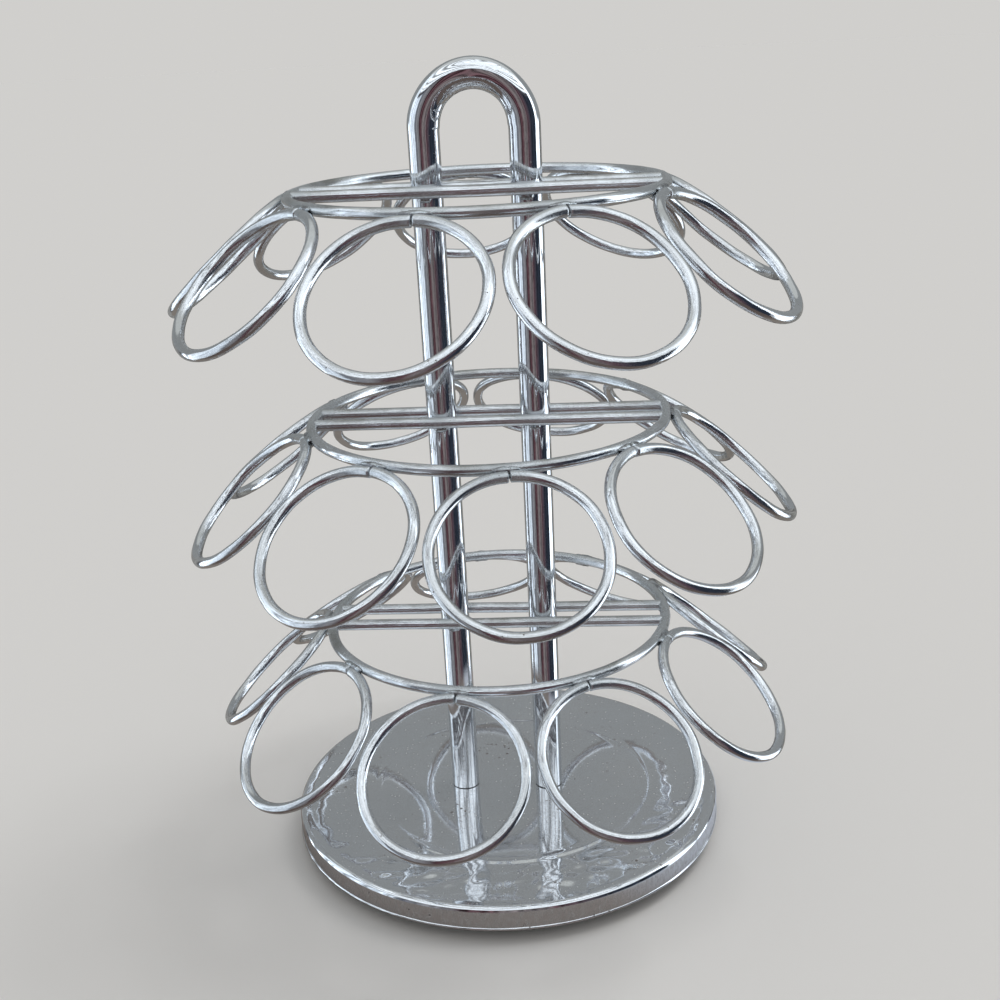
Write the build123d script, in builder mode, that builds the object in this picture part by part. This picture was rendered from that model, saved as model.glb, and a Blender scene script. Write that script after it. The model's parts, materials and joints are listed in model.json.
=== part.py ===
from build123d import *
import os
from math import cos, degrees, radians, sin, sqrt

# Three-tier pod carousel.  Millimetres, +Z up.
# The origin is the centre of the base, on the surface that it stands on.
# X runs along the cross bars, from one post to the other, and -Y is the front.

# ---------------------------------------------------------------- driving dimensions

# Pod rings: open wire rings that slope outward and down, welded outside a hoop.
pod_hole = 48.0  # clear diameter of a ring, for a pod with a 51 mm rim
ring_wire = 3.6  # wire diameter
ring_slope = 41.0  # degrees below the horizontal
ring_gap = 0.5  # butt gap between a ring's two ends, at its top
rings_per_tier = 9
ring_clearance = 1.7  # between one ring and the next

# Hoops and cross bars.
hoop_wire = 3.6
bar_wire = 3.8
weld_angle = 24.0  # degrees below the horizontal, from the hoop's wire to a ring's
weld_sink = 0.3  # how far welding sets one wire into the next

# Tiers.
first_tier_height = 69.0  # lowest hoop above the pan
tier_spacing = 73.0
tier_turns = {"lower": 1.1, "middle": 179.8, "top": -1.7}  # each tier is one weldment, turned about Z
first_ring_angle = -100.0  # from +X, on a tier that isn't turned

# Post frame: one tube bent into an upside-down U.
tube_diameter = 10.0
tube_wall = 1.0
post_spacing = 31.2  # between the centres of the two legs
handle_height = 38.5  # top hoop to the top of the handle

# Turntable pan: pressed sheet.
pan_diameter = 155.4
pan_sheet = 1.0
pan_edge_radius = 2.0
hem_height = 2.4  # the skirt's lower edge is folded back on itself
hem_radius = 0.9
skirt_clearance = 4.0  # skirt to the surface it stands on

# Foot disc, which stays still, and its rubber feet.
foot_inset = 15.7  # from the pan's edge in to the foot disc's
foot_floor = 2.3
foot_rim_height = 3.0
foot_rim_wall = 1.6
foot_edge_radius = 0.6
rubber_diameter = 12.0
rubber_height = 1.6  # the part of a rubber foot that stands below the disc
rubber_recess = 0.8
rubber_inset = 9.0  # from the disc's edge in to a foot's centre
rubber_count = 5

# Ball race between the foot disc and the plate under the pan.
race_inset = 17.0  # from the foot disc's edge in to the ball circle
ball_diameter = 6.0
ball_count = 12
ball_clearance = 0.1  # ball to groove
land_height = 2.0  # race land above the foot disc's floor
land_width = 12.0
groove_depth = 0.8
plate_thickness = 2.0
cage_thickness = 2.4
cage_width = 10.8
pocket_clearance = 0.2  # ball to cage

# Centre rivet.
rivet_radius = 3.0
rivet_bore = 1.7  # radius of the hollow end
rivet_head_radius = 5.0
rivet_head = 1.2  # thickness of the head under the disc
rivet_set = 0.8  # thickness of the end set over the washer
rivet_running_clearance = 0.08  # radial, in the plate
rivet_end_play = 0.1
rivet_washer_radius = 5.4
rivet_washer_thickness = 0.8
washer_clearance = 0.5  # round the washer, in the plate's hub
hub_wall = 2.0
hub_clearance = 0.2  # plate's hub above the foot disc's boss
boss_radius = 6.0

# Screws that hold the posts down.
screw_radius = 2.45
screw_length = 12.0
screw_head_radius = 4.5
screw_head_height = 3.0
screw_head_round = 1.0
screw_recess_width = 1.2
screw_recess_span = 5.2
screw_recess_depth = 1.7
thread_clearance = 0.05
hole_clearance = 0.2
screw_washer_radius = 5.0
screw_washer_thickness = 1.0
plug_length = 12.0
plug_clearance = 0.02
driver_clearance = 1.2  # round a screw head, in the foot disc's access holes

# ---------------------------------------------------------------- worked-out sizes

ring_radius = (pod_hole + ring_wire) / 2  # to the wire's centre
gap_angle = ring_gap / ring_radius
half_pitch = radians(180 / rings_per_tier)
slope = radians(ring_slope)

# Neighbouring rings come closest at the plane midway between them.
ring_reach = ring_radius * sqrt(cos(half_pitch) ** 2 + (cos(slope) * sin(half_pitch)) ** 2)
pitch_radius = (ring_reach + (ring_wire + ring_clearance) / 2) / sin(half_pitch)

# A ring's top touches the hoop's wire from outside and below.
weld_reach = (ring_wire + hoop_wire) / 2 - weld_sink
hoop_radius = pitch_radius - ring_radius * cos(slope) - weld_reach * cos(radians(weld_angle))
ring_drop = ring_radius * sin(slope) + weld_reach * sin(radians(weld_angle))

pan_radius = pan_diameter / 2
foot_radius = pan_radius - foot_inset
race_radius = foot_radius - race_inset
ball_radius = ball_diameter / 2

foot_floor_top = rubber_height + foot_floor
land_top = foot_floor_top + land_height
ball_height = land_top - groove_depth + ball_clearance + ball_radius
plate_bottom = ball_height + ball_radius + ball_clearance - groove_depth
plate_top = plate_bottom + plate_thickness
pan_top = plate_top + pan_sheet

hub_recess_radius = rivet_washer_radius + washer_clearance
hub_radius = hub_recess_radius + hub_wall
hub_top = plate_top - rivet_end_play - rivet_washer_thickness - rivet_set - rivet_end_play
hub_bottom = hub_top - plate_thickness
boss_top = hub_bottom - hub_clearance

tier_heights = {
    name: pan_top + first_tier_height + level * tier_spacing for level, name in enumerate(tier_turns)
}

half_post = post_spacing / 2
tube_radius = tube_diameter / 2
tube_bore = tube_radius - tube_wall
bend_height = tier_heights["top"] + handle_height - half_post - tube_radius
bar_offset = tube_radius + bar_wire / 2 - weld_sink
bar_reach = sqrt(hoop_radius**2 - bar_offset**2)

screw_head_top = plate_bottom - screw_washer_thickness
post_places = [(-half_post, 0), (half_post, 0)]

os.makedirs("parts", exist_ok=True)


def save(piece, name):
    """Labels one finished piece and writes it under its own name."""
    piece.label = name
    export_step(piece, f"parts/{name}.step")


# ---------------------------------------------------------------- foot, which stands still

with BuildPart() as foot_disc:
    with BuildSketch(Plane.XZ):
        with BuildLine():
            Polyline(
                (rivet_radius, rubber_height),
                (foot_radius, rubber_height),
                (foot_radius, foot_floor_top + foot_rim_height),
                (foot_radius - foot_rim_wall, foot_floor_top + foot_rim_height),
                (foot_radius - foot_rim_wall, foot_floor_top),
                (race_radius + land_width / 2, foot_floor_top),
                (race_radius + land_width / 2, land_top),
                (race_radius - land_width / 2, land_top),
                (race_radius - land_width / 2, foot_floor_top),
                (boss_radius, foot_floor_top),
                (boss_radius, boss_top),
                (rivet_radius, boss_top),
                close=True,
            )
        make_face()
        with Locations((race_radius, ball_height)):
            Circle(ball_radius + ball_clearance, mode=Mode.SUBTRACT)
    revolve(axis=Axis.Z)
    outer_edges = foot_disc.edges().filter_by(GeomType.CIRCLE).group_by(SortBy.RADIUS)[-1]
    fillet(outer_edges, radius=foot_edge_radius)
    # Recess for the rivet's head.
    with BuildSketch(Plane.XY.offset(rubber_height)):
        Circle(rivet_head_radius + hole_clearance)
    extrude(amount=rivet_head + hole_clearance, mode=Mode.SUBTRACT)
    # Recesses for the rubber feet.
    with BuildSketch(Plane.XY.offset(rubber_height)):
        with PolarLocations(foot_radius - rubber_inset, rubber_count, start_angle=90):
            Circle(rubber_diameter / 2)
    extrude(amount=rubber_recess, mode=Mode.SUBTRACT)
    # A driver reaches the post screws through these.
    with BuildSketch(Plane.XY.offset(rubber_height)):
        with Locations(*post_places):
            Circle(screw_head_radius + driver_clearance)
    extrude(amount=foot_floor, mode=Mode.SUBTRACT)
save(foot_disc.part, "foot_disc")

with BuildPart() as rubber_feet:
    with BuildSketch(Plane.XY):
        with PolarLocations(foot_radius - rubber_inset, rubber_count, start_angle=90):
            Circle(rubber_diameter / 2)
    extrude(amount=rubber_height + rubber_recess)
    fillet(rubber_feet.edges().group_by(Axis.Z)[0], radius=foot_edge_radius)
save(rubber_feet.part, "rubber_feet")

with BuildPart() as centre_rivet:
    head_bottom = rubber_height + hole_clearance
    head_top = head_bottom + rivet_head
    rivet_end = hub_top + rivet_end_play + rivet_washer_thickness + rivet_set
    with BuildSketch(Plane.XZ):
        with BuildLine():
            Polyline(
                (0, head_bottom),
                (rivet_head_radius, head_bottom),
                (rivet_head_radius, head_top),
                (rivet_radius, head_top),
                (rivet_radius, rivet_end - rivet_set),
                (rivet_head_radius, rivet_end - rivet_set),
                (rivet_head_radius, rivet_end),
                (rivet_bore, rivet_end),
                (rivet_bore, head_top),
                (0, head_top),
                close=True,
            )
        make_face()
    revolve(axis=Axis.Z)
save(centre_rivet.part, "centre_rivet")

with BuildPart() as rivet_washer:
    with BuildSketch(Plane.XY.offset(hub_top + rivet_end_play)):
        Circle(rivet_washer_radius)
        Circle(rivet_radius, mode=Mode.SUBTRACT)
    extrude(amount=rivet_washer_thickness)
save(rivet_washer.part, "rivet_washer")

# ---------------------------------------------------------------- ball cage, which turns at half speed

with BuildPart() as bearing_balls:
    with PolarLocations(race_radius, ball_count):
        with Locations((0, 0, ball_height)):
            Sphere(ball_radius)
save(bearing_balls.part, "bearing_balls")

with BuildPart() as ball_cage:
    with BuildSketch(Plane.XY.offset(ball_height - cage_thickness / 2)):
        Circle(race_radius + cage_width / 2)
        Circle(race_radius - cage_width / 2, mode=Mode.SUBTRACT)
        with PolarLocations(race_radius, ball_count):
            Circle(ball_radius + pocket_clearance, mode=Mode.SUBTRACT)
    extrude(amount=cage_thickness)
save(ball_cage.part, "ball_cage")

# ---------------------------------------------------------------- turntable

with BuildPart() as upper_race_plate:
    rivet_hole = rivet_radius + rivet_running_clearance
    with BuildSketch(Plane.XZ):
        with BuildLine():
            Polyline(
                (rivet_hole, hub_bottom),
                (hub_radius, hub_bottom),
                (hub_radius, plate_bottom),
                (race_radius + land_width / 2, plate_bottom),
                (race_radius + land_width / 2, plate_top),
                (hub_recess_radius, plate_top),
                (hub_recess_radius, hub_top),
                (rivet_hole, hub_top),
                close=True,
            )
        make_face()
        with Locations((race_radius, ball_height)):
            Circle(ball_radius + ball_clearance, mode=Mode.SUBTRACT)
    revolve(axis=Axis.Z)
    with BuildSketch(Plane.XY.offset(plate_bottom)):
        with Locations(*post_places):
            Circle(screw_radius + hole_clearance)
    extrude(amount=plate_thickness, mode=Mode.SUBTRACT)
save(upper_race_plate.part, "upper_race_plate")

with BuildPart() as turntable_pan:
    inner_radius = pan_radius - pan_sheet
    hem_width = 2 * pan_sheet
    hem_middle = skirt_clearance + hem_height / 2
    with BuildSketch(Plane.XZ):
        with BuildLine():
            Polyline(
                (0, pan_top),
                (pan_radius, pan_top),
                (pan_radius, hem_middle),
                (inner_radius, hem_middle),
                (inner_radius, plate_top),
                (0, plate_top),
                close=True,
            )
        make_face()
        with Locations((pan_radius - hem_width / 2, hem_middle)):
            RectangleRounded(hem_width, hem_height, hem_radius)
    revolve(axis=Axis.Z)
    rims = turntable_pan.edges().filter_by(GeomType.CIRCLE).group_by(Axis.Z)
    fillet(rims[-1], radius=pan_edge_radius)
    circles = turntable_pan.edges().filter_by(GeomType.CIRCLE)
    inner_rims = circles.filter_by_position(Axis.Z, plate_top, plate_top)
    fillet(inner_rims, radius=pan_edge_radius - pan_sheet)
    with BuildSketch(Plane.XY.offset(plate_top)):
        with Locations(*post_places):
            Circle(screw_radius + hole_clearance)
    extrude(amount=pan_sheet, mode=Mode.SUBTRACT)
save(turntable_pan.part, "turntable_pan")

# ---------------------------------------------------------------- post frame and its fasteners

with BuildPart() as post_frame:
    with BuildLine(Plane.XZ) as bent_centre_line:
        Line((-half_post, pan_top), (-half_post, bend_height))
        CenterArc((0, bend_height), half_post, 180, -180)
        Line((half_post, bend_height), (half_post, pan_top))
    with BuildSketch(Plane(origin=(-half_post, 0, pan_top), z_dir=(0, 0, 1))):
        Circle(tube_radius)
        Circle(tube_bore, mode=Mode.SUBTRACT)
    sweep(path=bent_centre_line.line)
save(post_frame.part, "post_frame")

with BuildPart() as tube_plugs:
    with BuildSketch(Plane.XY.offset(pan_top)):
        with Locations(*post_places):
            Circle(tube_bore - plug_clearance)
            Circle(screw_radius + thread_clearance, mode=Mode.SUBTRACT)
    extrude(amount=plug_length)
save(tube_plugs.part, "tube_plugs")

with BuildPart() as screw_washers:
    with BuildSketch(Plane.XY.offset(screw_head_top)):
        with Locations(*post_places):
            Circle(screw_washer_radius)
            Circle(screw_radius + hole_clearance, mode=Mode.SUBTRACT)
    extrude(amount=screw_washer_thickness)
save(screw_washers.part, "screw_washers")

with BuildPart() as post_screws:
    with BuildSketch(Plane.XY.offset(screw_head_top)):
        with Locations(*post_places):
            Circle(screw_radius)
    extrude(amount=screw_length)
    with BuildSketch(Plane.XY.offset(screw_head_top)):
        with Locations(*post_places):
            Circle(screw_head_radius)
    extrude(amount=-screw_head_height)
    fillet(post_screws.edges().group_by(Axis.Z)[0], radius=screw_head_round)
    with BuildSketch(Plane.XY.offset(screw_head_top - screw_head_height)):
        with Locations(*post_places):
            Rectangle(screw_recess_span, screw_recess_width)
            Rectangle(screw_recess_width, screw_recess_span)
    extrude(amount=screw_recess_depth, mode=Mode.SUBTRACT)
save(post_screws.part, "post_screws")

# ---------------------------------------------------------------- tiers


def ring_plane(height, angle):
    """The plane of one pod ring: X runs down its slope and Z is the ring's own axis."""
    outward = Vector(cos(angle), sin(angle), 0)
    up = Vector(0, 0, 1)
    return Plane(
        origin=outward * pitch_radius + up * (height - ring_drop),
        x_dir=outward * cos(slope) - up * sin(slope),
        z_dir=outward * sin(slope) + up * cos(slope),
    )


for tier, height in tier_heights.items():
    with BuildPart() as hoop:
        with BuildSketch(Plane.XZ):
            with Locations((hoop_radius, height)):
                Circle(hoop_wire / 2)
        revolve(axis=Axis.Z)
    save(hoop.part, f"{tier}_hoop")

    # The bars sandwich the posts.  Their ends are coped to the hoop, their sides to the posts.
    for side, y in (("front", -bar_offset), ("back", bar_offset)):
        with BuildPart() as bar:
            with BuildSketch(Plane.YZ.offset(-bar_reach)):
                with Locations((y, height)):
                    Circle(bar_wire / 2)
            extrude(amount=2 * bar_reach)
            add(hoop.part, mode=Mode.SUBTRACT)
            add(post_frame.part, mode=Mode.SUBTRACT)
        save(bar.part, f"{tier}_{side}_bar")

    # Each ring's wire starts and stops at its butt gap, up at the hoop, and is set into the hoop by the weld.
    for number in range(rings_per_tier):
        angle = first_ring_angle + tier_turns[tier] + number * 360 / rings_per_tier
        plane = ring_plane(height, radians(angle))
        to_wire_end = -plane.x_dir * cos(gap_angle / 2) - plane.y_dir * sin(gap_angle / 2)
        with BuildPart() as pod_ring:
            with BuildSketch(Plane(plane.origin, x_dir=plane.z_dir, z_dir=to_wire_end.cross(plane.z_dir))):
                with Locations((0, -ring_radius)):
                    Circle(ring_wire / 2)
            revolve(axis=Axis(plane.origin, plane.z_dir), revolution_arc=360 - degrees(gap_angle))
            add(hoop.part, mode=Mode.SUBTRACT)
        save(pod_ring.part, f"{tier}_ring_{number + 1}")
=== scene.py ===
"""Looks of a chrome wire pod carousel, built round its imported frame.

The pieces are smooth surfaces worked out from the frame's own sizes.  Everything is in metres, +Z up, with
the origin at the centre of the base and -Y the front.
"""

import json
import math

import bpy
import numpy as np
from bpy.props import FloatProperty, FloatVectorProperty, IntProperty, PointerProperty
from mathutils import Matrix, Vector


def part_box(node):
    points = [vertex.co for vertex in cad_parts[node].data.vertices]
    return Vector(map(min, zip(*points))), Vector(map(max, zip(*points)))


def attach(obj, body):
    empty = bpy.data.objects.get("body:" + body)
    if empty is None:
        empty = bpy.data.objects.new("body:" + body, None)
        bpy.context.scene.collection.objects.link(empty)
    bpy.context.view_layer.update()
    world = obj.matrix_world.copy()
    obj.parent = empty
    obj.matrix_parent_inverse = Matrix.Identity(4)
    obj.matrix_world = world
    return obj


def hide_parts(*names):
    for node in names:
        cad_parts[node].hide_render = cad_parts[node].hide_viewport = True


bl_info = {
    "name": "Pod Carousel",
    "version": (1, 0, 0),
    "blender": (4, 5, 0),
    "location": "View3D > Sidebar > Pod Carousel",
    "description": "Builds the chrome wire, tube and pan of a pod carousel round its frame",
    "category": "Add Mesh",
}

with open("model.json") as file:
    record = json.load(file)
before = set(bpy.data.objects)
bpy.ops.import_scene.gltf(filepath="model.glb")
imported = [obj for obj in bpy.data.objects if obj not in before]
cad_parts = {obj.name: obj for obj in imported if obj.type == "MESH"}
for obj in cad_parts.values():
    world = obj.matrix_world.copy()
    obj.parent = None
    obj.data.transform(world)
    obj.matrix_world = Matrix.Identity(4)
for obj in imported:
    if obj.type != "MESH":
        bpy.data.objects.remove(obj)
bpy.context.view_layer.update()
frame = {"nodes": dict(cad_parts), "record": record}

TIERS = ("lower", "middle", "top")
SIDES = ("front", "back")
MM = 0.001
UP = np.array([0.0, 0.0, 1.0])
TUBE_WALL = 1.0 * MM
RING_STEPS = 200
HOOP_STEPS = 360
BAR_STEPS = 120
TUBE_STEPS = 420
BEND_STEPS = 160
PAN_STEPS = 90
PAN_SIDES = 720
SKYLIGHT = 0.55
KEY_DIRECTION = (-0.55, -0.35, -1.0)
KEY_SPREAD = math.radians(28)
FLOOR_RADIUS = 15.0
CAMERA_PLACE = (0.0375, -0.4232, 0.2735)
CAMERA_TURN = [math.radians(angle) for angle in (66.42, 2.69, 3.80)]
CAMERA_SHIFT = 0.1


# ---------------------------------------------------------------- settings


class WireSettings(bpy.types.PropertyGroup):
    """How the wires, the tube and their welds differ from true circles and lines."""

    ring_wobble: FloatProperty(
        name="Ring wobble", description="How far a ring strays from a true circle",
        default=0.22 * MM, unit="LENGTH",
    )
    end_step: FloatProperty(
        name="End step", description="Most that a ring's two ends miss each other by",
        default=0.35 * MM, unit="LENGTH",
    )
    hoop_wobble: FloatProperty(
        name="Hoop wobble", description="How far a hoop strays from a true circle",
        default=0.12 * MM, unit="LENGTH",
    )
    bar_bow: FloatProperty(
        name="Bar bow", description="How far a cross bar strays from a straight line",
        default=0.1 * MM, unit="LENGTH",
    )
    bead_length: FloatProperty(
        name="Bead length", description="Length of a weld bead at a ring",
        default=10.0 * MM, unit="LENGTH",
    )
    bead_radius: FloatProperty(
        name="Bead radius", description="Radius of a weld bead at its middle",
        default=0.95 * MM, unit="LENGTH",
    )
    bend_bulge: FloatProperty(
        name="Bend bulge", description="How far the tube's wall bulges inside its bend",
        default=0.22 * MM, unit="LENGTH",
    )


class PanSettings(bpy.types.PropertyGroup):
    """The pressed pan's section, and how far its top is from flat."""

    sheet: FloatProperty(
        name="Sheet", description="Thickness of the sheet",
        default=1.0 * MM, unit="LENGTH",
    )
    edge_radius: FloatProperty(
        name="Edge radius", description="Outside radius of the top edge",
        default=2.0 * MM, unit="LENGTH",
    )
    hem_height: FloatProperty(
        name="Hem height", description="Height of the folded hem",
        default=2.4 * MM, unit="LENGTH",
    )
    hem_bulge: FloatProperty(
        name="Hem bulge", description="How far the hem stands out of the skirt",
        default=0.25 * MM, unit="LENGTH",
    )
    crease_radius: FloatProperty(
        name="Crease radius", description="Radius of the shallow crease in the top",
        default=50.0 * MM, unit="LENGTH",
    )
    crease_height: FloatProperty(
        name="Crease height", description="Height of the shallow crease",
        default=0.18 * MM, unit="LENGTH",
    )
    fall: FloatProperty(
        name="Fall", description="How far the top falls from the crease to the edge",
        default=0.3 * MM, unit="LENGTH",
    )
    ripple: FloatProperty(
        name="Ripple", description="Height of the ripples outside the crease",
        default=0.045 * MM, unit="LENGTH",
    )


class FinishSettings(bpy.types.PropertyGroup):
    """Colours and wear of the surfaces."""

    chrome: FloatVectorProperty(
        name="Chrome", description="Reflection of clean chrome", subtype="COLOR", default=(0.78, 0.80, 0.83)
    )
    dust: FloatVectorProperty(
        name="Dust", description="Colour of settled dust", subtype="COLOR", default=(0.31, 0.31, 0.295)
    )
    weld_scale: FloatVectorProperty(
        name="Weld scale",
        description="Colour of the dulled plating at a weld",
        subtype="COLOR",
        default=(0.50, 0.53, 0.55),
    )
    grime: FloatVectorProperty(
        name="Grime", description="Colour of the specks", subtype="COLOR", default=(0.055, 0.035, 0.025)
    )
    pan_dust: FloatProperty(
        name="Pan dust", description="Share of the pan's top that dust covers", default=0.5, min=0, max=1
    )


class StageSettings(bpy.types.PropertyGroup):
    """Floor, lights and camera."""

    floor: FloatVectorProperty(
        name="Floor", description="Colour of the floor", subtype="COLOR", default=(0.80, 0.79, 0.77)
    )
    lens: FloatProperty(name="Lens", description="Focal length, in millimetres", default=47.1)
    key_power: FloatProperty(name="Key power", description="Strength of the key light", default=0.9)


class CarouselSettings(bpy.types.PropertyGroup):
    """All settings of the carousel, in groups."""

    wire: PointerProperty(type=WireSettings)
    pan: PointerProperty(type=PanSettings)
    finish: PointerProperty(type=FinishSettings)
    stage: PointerProperty(type=StageSettings)
    sides: IntProperty(name="Sides", description="Faces round a wire", default=24, min=8, max=64)


# ---------------------------------------------------------------- shader expressions


class Shade:
    """One output of a node tree.  Arithmetic on it adds Math nodes to the same tree."""

    def __init__(self, tree, socket=None):
        self.tree = tree
        self.socket = socket

    def add(self, kind, settings=None, inputs=None, output=0):
        """Adds a node of one kind: its settings first, then the values or links of its sockets."""
        node = self.tree.nodes.new("ShaderNode" + kind)
        for name, value in (settings or {}).items():
            if name == "stops":
                fill_ramp(node.color_ramp, value)
            else:
                setattr(node, name, value)
        for key, value in (inputs or {}).items():
            if isinstance(value, Shade):
                self.tree.links.new(value.socket, node.inputs[key])
            else:
                node.inputs[key].default_value = value
        return Shade(self.tree, node.outputs[output] if node.outputs else None)

    def math(self, operation, *values):
        return self.add("Math", {"operation": operation}, dict(enumerate(values)))

    def __add__(self, other):
        return self.math("ADD", self, other)

    __radd__ = __add__

    def __sub__(self, other):
        return self.math("SUBTRACT", self, other)

    def __rsub__(self, other):
        return self.math("SUBTRACT", other, self)

    def __mul__(self, other):
        return self.math("MULTIPLY", self, other)

    __rmul__ = __mul__

    def __truediv__(self, other):
        return self.math("DIVIDE", self, other)

    def clamp(self):
        """The value held between 0 and 1."""
        return self.add("Math", {"operation": "ADD", "use_clamp": True}, {0: self, 1: 0.0})

    def ease(self, low, high):
        """0 below low and 1 above high, with a smooth step between."""
        inputs = {"Value": self, "From Min": low, "From Max": high}
        return self.add("MapRange", {"interpolation_type": "SMOOTHSTEP"}, inputs)

    def parts(self):
        """The three components of a vector."""
        return [self.add("SeparateXYZ", None, {0: self}, output) for output in range(3)]

    def join(self, x, y, z):
        """A vector with these three components."""
        return self.add("CombineXYZ", None, {0: x, 1: y, 2: z})

    def times(self, factor):
        """A vector made longer by a factor."""
        return self.add("VectorMath", {"operation": "SCALE"}, {0: self, "Scale": factor})

    def noise(self, scale, detail=2.0, roughness=0.5):
        """Cloudy noise at this vector, about 0.5, with its cells one over the scale across."""
        inputs = {"Vector": self, "Scale": scale, "Detail": detail, "Roughness": roughness}
        return self.add("TexNoise", None, inputs)

    def specks(self, scale, size, share):
        """1 inside round specks that sit in a share of the cells, each one over the scale across."""
        cells = {"Vector": self, "Scale": scale, "Randomness": 1.0}
        near = self.add("TexVoronoi", None, cells, "Distance")
        pick = self.add("TexVoronoi", None, cells, "Color").parts()[0]
        return (1 - near.ease(size * 0.6, size)) * self.math("LESS_THAN", pick, share)

    def blend(self, factor, first, second):
        """A colour between two others."""
        return self.add("Mix", {"data_type": "RGBA"}, {0: factor, 6: first, 7: second}, 2)


def fill_ramp(ramp, stops):
    """Gives a colour ramp its stops, each a place from 0 to 1 and a colour."""
    while len(ramp.elements) < len(stops):
        ramp.elements.new(1.0)
    for element, (place, colour) in zip(ramp.elements, stops):
        element.position = place
        element.color = (*colour, 1.0)


def rgba(colour):
    """A colour of three numbers with an alpha of 1."""
    return (*colour, 1.0)


def new_material(name):
    """An empty material and the Shade that adds nodes to it."""
    material = bpy.data.materials.new(name)
    material.use_nodes = True
    material.node_tree.nodes.clear()
    return material, Shade(material.node_tree)


def close_material(shade, values):
    """Ends a material with one Principled shader that has these values or links."""
    surface = shade.add("BsdfPrincipled", None, values)
    shade.add("OutputMaterial", None, {"Surface": surface})


# ---------------------------------------------------------------- materials


def wire_chrome(name, finish, roughness, dusty, tarnished, relief):
    """Chrome on drawn wire: fine draw lines along it, dust on its top, and dull plating near its welds.

    It reads the piece's UV map, metres along the wire and turns round it, and its weld attribute.  The
    numbers are the clean surface's roughness, the shares of dust and tarnish, and the draw lines' strength.
    """
    material, shade = new_material(name)
    place = shade.add("TexCoord", None, None, "Object")
    along, around, _ = shade.add("UVMap", {"uv_map": "wire"}).parts()
    turn = around * (2 * math.pi)
    drawn = shade.join(along * 40, shade.math("COSINE", turn) * 3.6, shade.math("SINE", turn) * 3.6)
    lines = drawn.noise(2.2, 3.0, 0.65)
    weld = shade.add("Attribute", {"attribute_name": "weld"}, None, "Fac")
    up = shade.add("NewGeometry", None, None, "Normal").parts()[2]

    patches = place.noise(150, 4.0, 0.6)
    broad = place.noise(28, 3.0, 0.55)
    speckle = place.noise(2600, 2.0, 0.7)
    settled = up.ease(0.2, 1.0) * patches.ease(0.0, 0.9) * dusty
    tarnish = broad.ease(0.45, 0.62) * tarnished
    film = ((settled + tarnish) * (speckle * 0.5 + 0.75)).clamp()
    scaled = (weld * (patches.ease(0.3, 0.7) * 0.5 + 0.5)).clamp()
    pits = place.specks(520, 0.16, 0.05) + place.specks(900, 0.2, 0.03)

    colour = shade.blend(film, rgba(finish.chrome), rgba(finish.dust))
    colour = shade.blend(scaled * 0.75, colour, rgba(finish.weld_scale))
    colour = shade.blend((pits * 0.8).clamp(), colour, rgba(finish.grime))
    metal = (1 - (settled * 0.4 + tarnish * 0.1).clamp() - scaled * 0.1 - pits * 0.5).clamp()
    rough = (roughness + film * 0.16 + scaled * 0.2 + (lines - 0.5) * 0.12 + pits * 0.3).clamp()
    crust = scaled * place.noise(1500, 2.0, 0.6) * 1.2
    height = lines + place.noise(700, 3.0, 0.6) * 0.2 + crust - pits * 0.8
    normal = shade.add("Bump", None, {"Strength": relief, "Distance": 0.05 * MM, "Height": height})
    values = {"Base Color": colour, "Metallic": metal, "Roughness": rough, "Normal": normal}
    close_material(shade, values)
    return material


def weld_metal(name, finish):
    """Dull, lumpy metal of the weld beads, plated over."""
    material, shade = new_material(name)
    place = shade.add("TexCoord", None, None, "Object")
    lumps = place.noise(900, 3.0, 0.65)
    stain = place.noise(420, 3.0, 0.6).ease(0.4, 0.65)
    colour = shade.blend(stain, rgba(finish.weld_scale), (0.26, 0.26, 0.27, 1.0))
    normal = shade.add("Bump", None, {"Strength": 0.6, "Distance": 0.1 * MM, "Height": lumps})
    values = {"Base Color": colour, "Metallic": 0.95, "Roughness": 0.16 + stain * 0.2, "Normal": normal}
    close_material(shade, values)
    return material


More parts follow.
